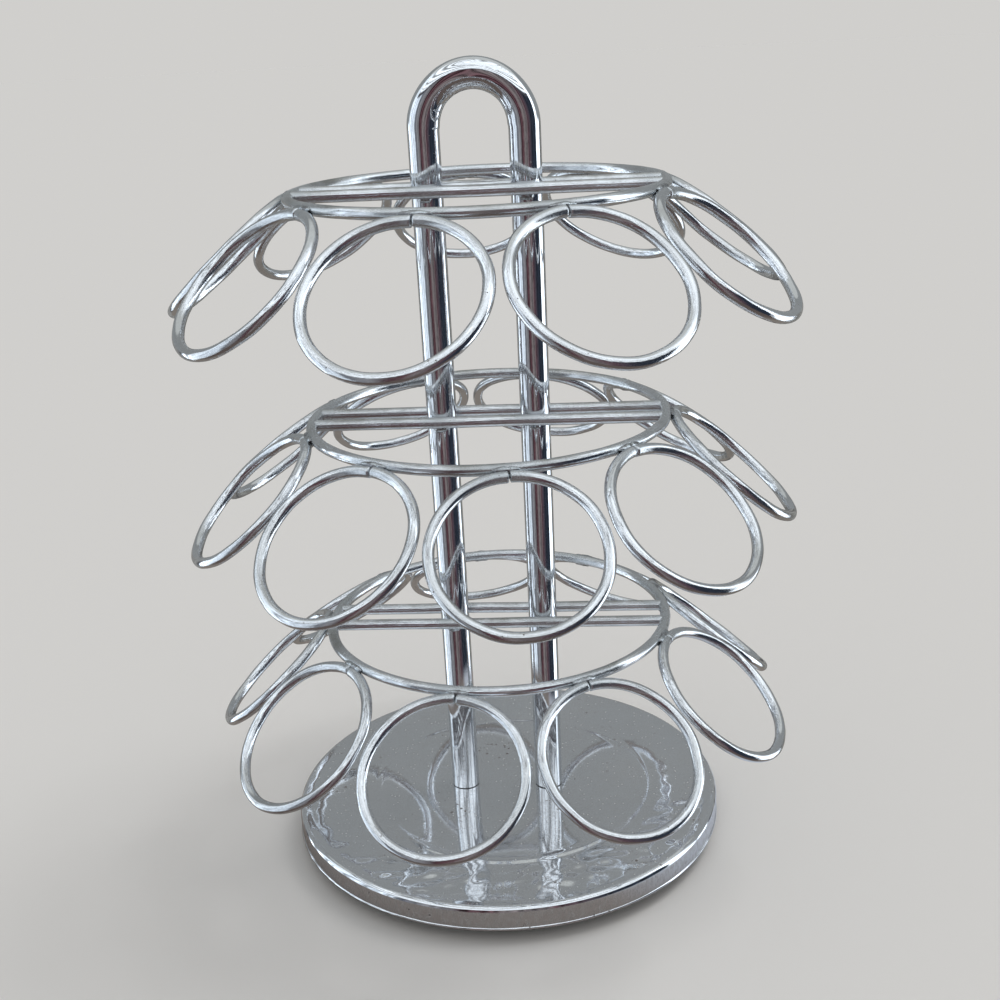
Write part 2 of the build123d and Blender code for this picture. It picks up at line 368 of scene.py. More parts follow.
def pan_chrome(name, finish):
    """Chrome on pressed sheet: a veil of dust on its top, fine scratches, pits and specks of grime.

    Most of the grime lies between the posts and a little behind them.
    """
    material, shade = new_material(name)
    place = shade.add("TexCoord", None, None, "Object")
    x, y, z = place.parts()
    up = shade.add("NewGeometry", None, None, "Normal").parts()[2]
    top = up.ease(0.6, 0.98)
    side = 1 - up.ease(0.05, 0.5)

    patches = place.noise(45, 4.0, 0.6)
    grain = place.noise(1900, 3.0, 0.75)
    veil = (patches.ease(0.25, 0.75) * 0.5 + 0.5) * (grain.ease(0.35, 0.7) * 0.6 + 0.4)
    bearing = shade.math("ARCTAN2", y, x)
    rubbed = shade.join(bearing * 60, z * 300, 0.0).noise(1.0, 4.0, 0.75)
    film = (top * veil * finish.pan_dust + side * rubbed.ease(0.4, 0.75) * 0.5).clamp()
    flecks = place.specks(700, 0.2, 0.3) * top
    behind = (x + 4 * MM) * (x + 4 * MM) + (y - 24 * MM) * (y - 24 * MM) * 3
    between = 1 - shade.math("SQRT", behind).ease(6 * MM, 14 * MM)
    dirt = (place.noise(90, 4.0, 0.7).ease(0.56, 0.68) + between) * place.specks(620, 0.42, 0.35)
    grime = (dirt + place.specks(160, 0.1, 0.06) + place.specks(420, 0.2, 0.08) * side).clamp()
    wiped = shade.join(x * 30 + y * 4, y * 900, 0.0)
    scratches = wiped.noise(1.0, 3.0, 0.7).ease(0.6, 0.74) * top

    colour = shade.blend(film, rgba(finish.chrome), rgba(finish.dust))
    colour = shade.blend(flecks * 0.7, colour, (0.80, 0.80, 0.77, 1.0))
    colour = shade.blend(grime * 0.85, colour, rgba(finish.grime))
    metal = (1 - film * 0.7 - flecks * 0.4 - grime * 0.6).clamp()
    rough = (0.035 + film * 0.06 + side * 0.12 + flecks * 0.3 + scratches * 0.1 + grime * 0.4).clamp()
    uneven = place.noise(330, 3.0, 0.55) * 0.2 + grain * 0.08
    relief = uneven + scratches * 0.4 + side * rubbed * 1.2 + grime
    normal = shade.add("Bump", None, {"Strength": 0.3, "Distance": 0.05 * MM, "Height": relief})
    values = {"Base Color": colour, "Metallic": metal, "Roughness": rough, "Normal": normal}
    close_material(shade, values)
    return material


def plain_finish(name, colour, metallic, roughness, grain):
    """A moulded, plated or rubber finish.  Fine grain changes its colour, gloss and surface a little."""
    material, shade = new_material(name)
    place = shade.add("TexCoord", None, None, "Object")
    fine = place.noise(grain, 3.0, 0.6)
    broad = place.noise(grain / 12, 3.0, 0.6)
    shadow = tuple(channel * 0.7 for channel in colour)
    tone = shade.blend(broad, rgba(colour), rgba(shadow))
    normal = shade.add("Bump", None, {"Strength": 0.3, "Distance": 0.05 * MM, "Height": fine})
    rough = (roughness + (fine - 0.5) * 0.2).clamp()
    values = {"Base Color": tone, "Metallic": metallic, "Roughness": rough, "Normal": normal}
    close_material(shade, values)
    return material


# ---------------------------------------------------------------- surfaces


def node_points(node):
    """The corners of a CAD node's faces, one row each."""
    vertices = frame["nodes"][node].data.vertices
    flat = np.empty(len(vertices) * 3, np.float32)
    vertices.foreach_get("co", flat)
    return flat.reshape(-1, 3).astype(float)


def ripple(angle, seed, orders, size):
    """A smooth closed wave: the sum of cosines of some orders, with seeded phases, as tall as the size."""
    draw = np.random.default_rng(seed)
    orders = np.array(orders)
    phases = draw.uniform(0, 2 * np.pi, len(orders))
    shares = draw.uniform(0.4, 1.0, len(orders)) / np.sqrt(orders)
    waves = shares * np.cos(np.multiply.outer(angle, orders) + phases)
    return size * waves.sum(-1) / shares.sum()


def smooth_step(value, low, high):
    """0 below low and 1 above high, with a smooth step between: 3 t^2 - 2 t^3."""
    share = np.clip((value - low) / (high - low), 0, 1)
    return share * share * (3 - 2 * share)


def round_section(path, across, beside, radius, sides):
    """A wire along a path: path + radius * (across cos s + beside sin s), for s once round the wire."""
    turn = np.linspace(0, 2 * np.pi, sides, endpoint=False)
    spoke = across[:, None] * np.cos(turn)[:, None] + beside[:, None] * np.sin(turn)[:, None]
    thick = radius[:, None] if np.ndim(radius) == 1 else np.broadcast_to(radius, (len(path), sides))
    return path[:, None] + spoke * thick[..., None]


def length_along(points):
    """Distance along each section's middle from the first, with the way back to the first at the end."""
    middle = points.mean(axis=1)
    steps = np.linalg.norm(np.roll(middle, -1, axis=0) - middle, axis=1)
    return np.concatenate([[0.0], np.cumsum(steps)])


def grid_faces(rows, sides, loops=False):
    """Each face's section i and place j, and its corners: i and i + 1 at j, and both at j + 1.

    The places run round a closed section.  If the grid loops, its last section joins its first.
    """
    spans = rows if loops else rows - 1
    i = np.repeat(np.arange(spans), sides)
    j = np.tile(np.arange(sides), spans)
    after_j = (j + 1) % sides
    row, next_row = i * sides, (i + 1) % rows * sides
    return i, j, np.stack([row + j, row + after_j, next_row + after_j, next_row + j], axis=1)


def end_caps(rows, sides):
    """The first and last sections of a grid as faces that close it."""
    return [np.arange(sides)[::-1], (rows - 1) * sides + np.arange(sides)]


def sheet_mesh(name, points, loops, weld=None):
    """A mesh from points[i, j], whose j runs round a closed section.  If it loops, i closes on itself too.

    Otherwise caps close its two ends.  The UV map holds metres along the piece and turns round it.
    """
    rows, sides = points.shape[:2]
    i, j, quads = grid_faces(rows, sides, loops)
    ends = [] if loops else end_caps(rows, sides)
    mesh = bpy.data.meshes.new(name)
    mesh.from_pydata(points.reshape(-1, 3).tolist(), [], quads.tolist() + [end.tolist() for end in ends])
    along = length_along(points)
    u = np.stack([along[i], along[i], along[i + 1], along[i + 1]], axis=1).ravel()
    v = np.stack([j, j + 1, j + 1, j], axis=1).ravel() / sides
    coordinates = np.stack([u, v], axis=1)
    for cap in () if loops else (0, rows - 1):
        end = np.stack([np.full(sides, along[cap]), np.arange(sides) / sides], axis=1)
        coordinates = np.concatenate([coordinates, end[::-1] if cap == 0 else end])
    layer = mesh.uv_layers.new(name="wire")
    layer.data.foreach_set("uv", coordinates.astype(np.float32).ravel())
    if weld is not None:
        attribute = mesh.attributes.new("weld", "FLOAT", "POINT")
        attribute.data.foreach_set("value", np.repeat(weld, sides).astype(np.float32))
    return mesh


def turned_mesh(name, profile, sides, lift):
    """A surface of revolution: each profile point (r, z) swept once round Z, with its ends on the axis.

    The profile runs from the top's centre, round the outside, to the underside's centre.  lift gives the
    height added at each (r, angle).
    """
    turn = np.linspace(0, 2 * np.pi, sides, endpoint=False)
    r, z = profile[1:-1, 0], profile[1:-1, 1]
    height = z[:, None] + lift(r, turn)
    x, y = np.outer(r, np.cos(turn)), np.outer(r, np.sin(turn))
    points = np.stack([x, y, height], axis=-1)
    rows = len(r)
    _, _, quads = grid_faces(rows, sides)
    outward = quads[:, [0, 3, 2, 1]]
    j = np.arange(sides)
    after_j = (j + 1) % sides
    top, bottom = rows * sides, rows * sides + 1
    last = (rows - 1) * sides
    top_fan = np.stack([np.full(sides, top), j, after_j], axis=1)
    bottom_fan = np.stack([np.full(sides, bottom), last + after_j, last + j], axis=1)
    poles = np.array([[0, 0, height[0].mean()], [0, 0, profile[-1, 1]]])
    corners = np.concatenate([points.reshape(-1, 3), poles])
    mesh = bpy.data.meshes.new(name)
    mesh.from_pydata(corners.tolist(), [], outward.tolist() + top_fan.tolist() + bottom_fan.tolist())
    return mesh


def place_piece(mesh, material, body, replaces=()):
    """Links a finished mesh as a smooth piece that rides on a body and stands for CAD nodes."""
    mesh.materials.append(material)
    mesh.shade_smooth()
    mesh.set_sharp_from_angle(angle=math.radians(50))
    piece = bpy.data.objects.new(mesh.name, mesh)
    bpy.context.scene.collection.objects.link(piece)
    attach(piece, body)
    if replaces:
        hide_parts(*replaces)


def join_meshes(name, grids):
    """One mesh of several closed, capped grids of the same shape: each keeps its own faces."""
    rows, sides = grids[0].shape[:2]
    _, _, quads = grid_faces(rows, sides)
    shifts = np.arange(len(grids)) * rows * sides
    faces = (quads[None] + shifts[:, None, None]).reshape(-1, 4).tolist()
    caps = [(cap + shift).tolist() for shift in shifts for cap in end_caps(rows, sides)]
    mesh = bpy.data.meshes.new(name)
    mesh.from_pydata(np.concatenate([grid.reshape(-1, 3) for grid in grids]).tolist(), [], faces + caps)
    return mesh


# ---------------------------------------------------------------- sizes taken from the frame


def ring_frame(tier, number):
    """Centre, axis, downhill direction, radius and wire radius of one pod ring."""
    mounts = {mount["name"]: mount for mount in frame["record"]["mounts"]}
    mount = mounts[f"{tier}_pod_seat_{number}"]
    centre = np.array(mount["pos_m"])
    axis = np.array(mount["axis"])
    axis /= np.linalg.norm(axis)
    downhill = -UP + axis * axis[2]
    downhill /= np.linalg.norm(downhill)
    reach = np.linalg.norm(node_points(f"{tier}_ring_{number}") - centre, axis=1)
    return centre, axis, downhill, (reach.max() + reach.min()) / 2, (reach.max() - reach.min()) / 2


def ring_count(tier):
    """How many rings a tier has in the frame."""
    return sum(node.startswith(f"{tier}_ring_") for node in frame["nodes"])


def hoop_frame(tier):
    """Height, radius and wire radius of a tier's hoop."""
    low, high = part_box(f"{tier}_hoop")
    wire = (high.z - low.z) / 2
    return (high.z + low.z) / 2, (high.y - low.y) / 2 - wire, wire


def bar_frame(tier, side):
    """Half length, y, height and wire radius of a cross bar."""
    low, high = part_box(f"{tier}_{side}_bar")
    return (high.x - low.x) / 2, (high.y + low.y) / 2, (high.z + low.z) / 2, (high.z - low.z) / 2


def tube_frame():
    """Foot height, height of the bend's centre, bend radius and tube radius of the post frame."""
    low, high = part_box("post_frame")
    tube = (high.y - low.y) / 2
    bend = (high.x - low.x) / 2 - tube
    return low.z, high.z - tube - bend, bend, tube


# ---------------------------------------------------------------- operators


def settings():
    """The scene's carousel settings."""
    return bpy.context.scene.carousel


class CAROUSEL_OT_rings(bpy.types.Operator):
    """Build the pod rings: open wire circles whose ends meet at the top, under the hoop"""

    bl_idname = "carousel.rings"
    bl_label = "Pod Rings"

    def execute(self, context):
        chrome = wire_chrome(
            "ring_chrome", settings().finish, roughness=0.05, dusty=0.35, tarnished=0.25, relief=0.7
        )
        for level, tier in enumerate(TIERS):
            for number in range(1, ring_count(tier) + 1):
                node = f"{tier}_ring_{number}"
                points, weld = self.grid(tier, number, level * 40 + number)
                mesh = sheet_mesh(f"{tier}_pod_ring_{number}", points, loops=False, weld=weld)
                place_piece(mesh, chrome, "carousel", [node])
        return {"FINISHED"}

    def grid(self, tier, number, seed):
        """Sections of one ring: centre + R(t) * spoke(t), for t from one side of its gap to the other.

        spoke(t) is -downhill cos t + side sin t.  R(t) wobbles away from the weld, and the last end steps
        aside.
        """
        wire = settings().wire
        centre, axis, downhill, radius, thick = ring_frame(tier, number)
        side = np.cross(axis, downhill)
        half_gap = 0.25 * MM / radius
        chamfer = 0.3 * MM
        t = np.linspace(half_gap, 2 * np.pi - half_gap, RING_STEPS)
        t = np.concatenate([[t[0]], t[:1] + chamfer / radius, t[1:-1], t[-1:] - chamfer / radius, [t[-1]]])
        away = np.minimum(t, 2 * np.pi - t) * radius
        loose = smooth_step(away, 8 * MM, 30 * MM)
        wobble = ripple(t, seed, [2, 3, 5, 8, 13], wire.ring_wobble) * loose
        buckle = ripple(t, seed + 500, [2, 3, 6, 11], wire.ring_wobble) * loose
        draw = np.random.default_rng(seed + 900)
        step = wire.end_step * draw.uniform(0.3, 1.0) * draw.choice([-1, 1])
        last_turn = smooth_step(t * radius, (2 * np.pi * radius) - 9 * MM, 2 * np.pi * radius)
        spoke = -np.outer(np.cos(t), downhill) + np.outer(np.sin(t), side)
        path = centre + spoke * (radius + wobble + step * last_turn)[:, None] + np.outer(buckle, axis)
        thickness = thick * (1 + ripple(t, seed + 70, [7, 11, 17, 23], 0.018))
        thickness[[0, -1]] -= chamfer
        beside = np.broadcast_to(axis, path.shape)
        points = round_section(path, spoke, beside, thickness, settings().sides)
        weld = 1 - smooth_step(away, 3 * MM, 16 * MM)
        return points, weld


class CAROUSEL_OT_hoops(bpy.types.Operator):
    """Build the three wire hoops that carry the rings"""

    bl_idname = "carousel.hoops"
    bl_label = "Hoops"

    def execute(self, context):
        chrome = wire_chrome(
            "hoop_chrome", settings().finish, roughness=0.06, dusty=0.6, tarnished=0.6, relief=0.7
        )
        for level, tier in enumerate(TIERS):
            points, weld = self.grid(tier, 200 + level)
            mesh = sheet_mesh(f"{tier}_wire_hoop", points, loops=True, weld=weld)
            place_piece(mesh, chrome, "carousel", [f"{tier}_hoop"])
        return {"FINISHED"}

    def grid(self, tier, seed):
        """Sections of one hoop: R(t) * (cos t, sin t) at its height, for t once round from its first weld."""
        height, radius, thick = hoop_frame(tier)
        count = ring_count(tier)
        first = ring_frame(tier, 1)[0]
        start = math.atan2(first[1], first[0])
        t = start + np.linspace(0, 2 * np.pi, HOOP_STEPS, endpoint=False)
        spoke = np.stack([np.cos(t), np.sin(t), np.zeros(len(t))], axis=1)
        from_weld = np.abs((t - start + np.pi / count) % (2 * np.pi / count) - np.pi / count) * radius
        loose = smooth_step(from_weld, 5 * MM, 16 * MM)
        wobble = ripple(t, seed, [4, 9, 13, 19], settings().wire.hoop_wobble) * loose
        path = spoke * (radius + wobble)[:, None] + UP * height
        thickness = thick * (1 + ripple(t, seed + 70, [11, 17, 29, 41], 0.018))
        beside = np.broadcast_to(-UP, path.shape)
        points = round_section(path, spoke, beside, thickness, settings().sides)
        _, bar_y, _, _ = bar_frame(tier, "front")
        from_bar = np.minimum(np.abs(path[:, 1] - bar_y), np.abs(path[:, 1] + bar_y))
        return points, 1 - smooth_step(np.minimum(from_weld, from_bar), 4 * MM, 15 * MM)


class CAROUSEL_OT_bars(bpy.types.Operator):
    """Build the straight cross bars in front of the posts and behind them"""

    bl_idname = "carousel.bars"
    bl_label = "Cross Bars"

    def execute(self, context):
        chrome = wire_chrome(
            "bar_chrome", settings().finish, roughness=0.08, dusty=0.9, tarnished=0.3, relief=0.7
        )
        for level, tier in enumerate(TIERS):
            for order, side in enumerate(SIDES):
                points, weld = self.grid(tier, side, 300 + level * 10 + order)
                mesh = sheet_mesh(f"{tier}_{side}_cross_bar", points, loops=False, weld=weld)
                place_piece(mesh, chrome, "carousel", [f"{tier}_{side}_bar"])
        return {"FINISHED"}

    def grid(self, tier, side, seed):
        """Sections of one bar: a line along X that bows a little, with square, lightly chamfered ends."""
        half, y, height, thick = bar_frame(tier, side)
        _, _, bend, _ = tube_frame()
        end = half - 0.9 * MM
        chamfer = 0.25 * MM
        x = np.linspace(-end, end, BAR_STEPS)
        x = np.concatenate([x[:1], x[:1] + chamfer, x[1:-1], x[-1:] - chamfer, x[-1:]])
        span = np.clip(1 - (x / end) ** 2, 0, 1)
        bow = settings().wire.bar_bow * span
        forward = ripple(x * 60, seed, [1, 2], 1) * bow
        upward = ripple(x * 70, seed + 5, [1, 2], 1) * bow
        path = np.stack([x, y + forward, height + upward], axis=1)
        across = np.broadcast_to([0.0, 1.0, 0.0], path.shape)
        beside = np.broadcast_to(UP, path.shape)
        thickness = np.full(len(x), thick)
        thickness[[0, -1]] -= chamfer
        points = round_section(path, across, beside, thickness, settings().sides)
        from_post = np.abs(np.abs(x) - bend)
        weld = 1 - smooth_step(np.minimum(from_post, end - np.abs(x)), 3 * MM, 9 * MM)
        return points, weld * 0.8


class CAROUSEL_OT_post_frame(bpy.types.Operator):
    """Build the post frame: one tube bent into an upside-down U"""

    bl_idname = "carousel.post_frame"
    bl_label = "Post Frame"

    def execute(self, context):
        mesh = sheet_mesh("bent_post_tube", self.grid(), loops=True)
        chrome = wire_chrome(
            "tube_chrome", settings().finish, roughness=0.04, dusty=0.3, tarnished=0.15, relief=0.2
        )
        place_piece(mesh, chrome, "carousel", ["post_frame"])
        return {"FINISHED"}

    def grid(self):
        """Sections up one leg, round the half circle and down the other, then back inside along the bore.

        Inside the bend the wall bulges at both ends and is drawn in between them.  Outside it is a little
        flatter.
        """
        foot, centre, bend, tube = tube_frame()
        wire = settings().wire
        foot += 0.35 * MM
        leg = centre - foot
        whole = 2 * leg + np.pi * bend
        even = np.linspace(0, whole, TUBE_STEPS)
        closer = leg + np.linspace(-0.02, 1.02, BEND_STEPS) * np.pi * bend
        distance = np.unique(np.concatenate([even, closer]))
        angle = np.pi - np.clip((distance - leg) / bend, 0, np.pi)
        drop = np.where(distance < leg, leg - distance, np.clip(distance - leg - np.pi * bend, 0, None))
        spoke = np.stack([np.cos(angle), np.zeros(len(angle)), np.sin(angle)], axis=1)
        path = spoke * bend + UP * centre - np.outer(drop, UP)
        into = np.minimum(distance - leg, leg + np.pi * bend - distance)
        bent = smooth_step(into, -1.0 * MM, 1.4 * MM)[:, None]
        middle = smooth_step(into, 1 * MM, 14 * MM)[:, None]
        sides = 2 * settings().sides
        turn = np.linspace(0, 2 * np.pi, sides, endpoint=False)
        inward = np.clip(-np.cos(turn), 0, 1) ** 1.5
        outward = np.clip(np.cos(turn), 0, 1) ** 2
        puckers = ripple(distance * 180, 61, [3, 5, 8], 0.015 * MM)[:, None] * inward
        inner_change = wire.bend_bulge * (1 - 2 * middle) + puckers
        outer = tube + bent * (inner_change * inward - 0.3 * MM * middle * outward)
        beside = np.broadcast_to([0.0, -1.0, 0.0], path.shape)
        outside = round_section(path, spoke, beside, outer, sides)
        inside = round_section(path, spoke, beside, tube - TUBE_WALL, sides)
        return np.concatenate([outside, inside[::-1]])


class CAROUSEL_OT_pan(bpy.types.Operator):
    """Build the pressed turntable pan, with its edge, skirt and folded hem"""

    bl_idname = "carousel.pan"
    bl_label = "Turntable Pan"

    def execute(self, context):
        mesh = turned_mesh("pressed_pan", self.profile(), PAN_SIDES, self.lift)
        chrome = pan_chrome("pan_chrome", settings().finish)
        place_piece(mesh, chrome, "carousel", ["turntable_pan"])
        return {"FINISHED"}

    def profile(self):
        """The pan's section from the top's centre to the underside's, with arcs at the edge and the hem."""
        pan = settings().pan
        low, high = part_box("turntable_pan")
        radius, top, bottom = high.x, high.z, low.z
        flat = radius - pan.edge_radius
        points = [(r, top) for r in np.linspace(0, flat, PAN_STEPS)]
        points += arc(flat, top - pan.edge_radius, pan.edge_radius, 90, 0, 12)[1:]
        hem = pan.hem_height / 2
        fold = hem * 0.55
        neck = bottom + pan.hem_height + 0.4 * MM
        points += [(radius, z) for z in np.linspace(top - pan.edge_radius, neck, 6)[1:]]
        points += arc(radius + pan.hem_bulge - fold, bottom + hem, fold, 60, 0, 5)
        points += arc(radius + pan.hem_bulge - fold, bottom + hem, fold, 0, -60, 5)[1:]
        points += arc(radius - pan.sheet, bottom + 0.5 * MM, 0.5 * MM, -60, -120, 4)
        inner = radius - pan.sheet
        points += [(inner - pan.sheet, bottom + 0.7 * MM), (inner - pan.sheet, bottom + pan.hem_height)]
        points += [(inner, bottom + pan.hem_height + 0.3 * MM)]
        points += arc(flat, top - pan.edge_radius, pan.edge_radius - pan.sheet, 0, 90, 6)
        points += [(r, top - pan.sheet) for r in np.linspace(flat, 0, 12)[1:]]
        return np.array(points)

    def lift(self, r, turn):
        """Height added to the top: a crease, a fall towards the edge, and ripples outside the crease.

        The ripples are a sum of seeded plane waves, cos(k.x + phase), strongest at the front.  Broader ones
        warp the whole top.  The radii begin with the top's own, without its centre.
        """
        pan = settings().pan
        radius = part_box("turntable_pan")[1].x
        flat = radius - pan.edge_radius
        on_top = (np.arange(len(r)) < PAN_STEPS - 1)[:, None]
        draw = np.random.default_rng(7)
        lean = pan.crease_radius + ripple(turn, 3, [1, 2, 3], 2.5 * MM)
        past = np.clip(r[:, None] - lean, 0, None)
        crease = pan.crease_height * np.exp(-(((r[:, None] - lean) / (1.2 * MM)) ** 2))
        fall = -pan.fall * (past / (flat - pan.crease_radius)) ** 2
        x = np.outer(r, np.cos(turn))
        y = np.outer(r, np.sin(turn))
        facing = 0.2 + 0.8 * smooth_step(-np.sin(turn - 0.3), -0.1, 0.75)
        outside = smooth_step(past, 3 * MM, 9 * MM)
        fine = waves(x, y, draw, 16, 6 * MM, 13 * MM) * pan.ripple * facing * outside
        broad = waves(x, y, draw, 8, 50 * MM, 110 * MM) * pan.ripple * 2.0
        return (crease + fall + fine + broad) * on_top * smooth_step(flat - r, -MM, 3 * MM)[:, None]


class CAROUSEL_OT_welds(bpy.types.Operator):
    """Build the weld beads where rings, hoops, bars and posts meet"""

    bl_idname = "carousel.welds"
    bl_label = "Welds"

    def execute(self, context):
        metal = weld_metal("weld_metal", settings().finish)
        for level, tier in enumerate(TIERS):
            beads = []
            for number in range(1, ring_count(tier) + 1):
                beads += self.ring_beads(tier, number, level)
            for side in SIDES:
                beads += self.bar_beads(tier, side, level)
            mesh = join_meshes(f"{tier}_weld_beads", beads)
            place_piece(mesh, metal, "carousel")
        return {"FINISHED"}

    def bead(self, middle, along, across, length, width, height, seed):
        """A spindle along a line: its half width and height shrink as sqrt(1 - u^2) from middle to ends."""
        u = np.linspace(-0.995, 0.995, 17)
        turn = np.linspace(0, 2 * np.pi, 14, endpoint=False)
        shrink = np.sqrt(1 - u**2)[:, None]
        lumps = 1 + ripple(u * 5, seed, [1, 2, 3], 0.16)[:, None] + ripple(turn, seed + 1, [2, 3], 0.08)
        beside = np.cross(along, across)
        spoke = across * (np.cos(turn) * width)[:, None] + beside * (np.sin(turn) * height)[:, None]
        return middle + np.outer(u, along)[:, None] * length / 2 + spoke[None] * (shrink * lumps)[..., None]

    def ring_beads(self, tier, number, level):
        """Two beads for one ring, in the creases above and below the line where it meets the hoop."""
        wire = settings().wire
        centre, _, downhill, radius, _ = ring_frame(tier, number)
        height, hoop, _ = hoop_frame(tier)
        outward = centre * [1, 1, 0]
        outward /= np.linalg.norm(outward)
        ring_top = centre - downhill * radius
        hoop_side = outward * hoop + UP * height
        line = ring_top - hoop_side
        line /= np.linalg.norm(line)
        along = np.cross(UP, outward)
        crease = np.cross(along, line)
        middle = (ring_top + hoop_side) / 2 - outward * 0.15 * MM
        draw = np.random.default_rng(1000 + level * 40 + number)
        for offset in (1.15 * MM, -1.15 * MM):
            length = wire.bead_length * draw.uniform(0.75, 1.05)
            size = wire.bead_radius * draw.uniform(0.85, 1.15)
            slide = along * draw.uniform(-1, 1) * MM
            seed = int(draw.integers(1000000))
            yield self.bead(middle + crease * offset + slide, along, line, length, size * 1.15, size, seed)

    def bar_beads(self, tier, side, level):
        """Beads of one bar: one under it at each post, and one under each end at the hoop."""
        half, y, height, thick = bar_frame(tier, side)
        _, _, bend, _ = tube_frame()
        along = np.array([1.0, 0.0, 0.0])
        across = np.array([0.0, 1.0, 0.0])
        draw = np.random.default_rng(2000 + level * 40 + SIDES.index(side))
        inward = -math.copysign(1, y)
        for sign in (-1, 1):
            post = np.array([sign * bend, y + inward * thick * 0.4, height - thick * 0.95])
            size = draw.uniform(0.9, 1.15)
            seed = int(draw.integers(1000000))
            yield self.bead(post, along, across, 4.6 * MM * size, 1.4 * MM, 1.7 * MM * size, seed)
            end = np.array([sign * (half - 0.6 * MM), y, height - thick * 0.8])
            yield self.bead(end, across, along, 3.6 * MM * size, 1.2 * MM, 1.0 * MM, seed + 7)


class CAROUSEL_OT_hardware(bpy.types.Operator):
    """Finish the foot, its feet, the ball race and the fasteners, which keep their own shapes"""

    bl_idname = "carousel.hardware"
    bl_label = "Foot and Hardware"

    def execute(self, context):
        finishes = {
            "black_plastic": plain_finish("moulded_black", (0.022, 0.024, 0.030), 0.0, 0.42, 2200),
            "race_plastic": plain_finish("moulded_race", (0.05, 0.05, 0.055), 0.0, 0.4, 2200),
            "cage_plastic": plain_finish("nylon_cage", (0.78, 0.77, 0.72), 0.0, 0.5, 2600),
            "rubber": plain_finish("foot_rubber", (0.05, 0.05, 0.05), 0.0, 0.8, 3000),
            "plated_steel": plain_finish("zinc_plate", (0.62, 0.62, 0.60), 1.0, 0.32, 1500),
            "ball_steel": plain_finish("bearing_steel", (0.70, 0.70, 0.72), 1.0, 0.1, 900),
        }
        for part in frame["record"]["subparts"]:
            if part["material_slot"] in finishes:
                node = frame["nodes"][part["node"]]
                for place in node.material_slots:
                    place.material = finishes[part["material_slot"]]
        return {"FINISHED"}


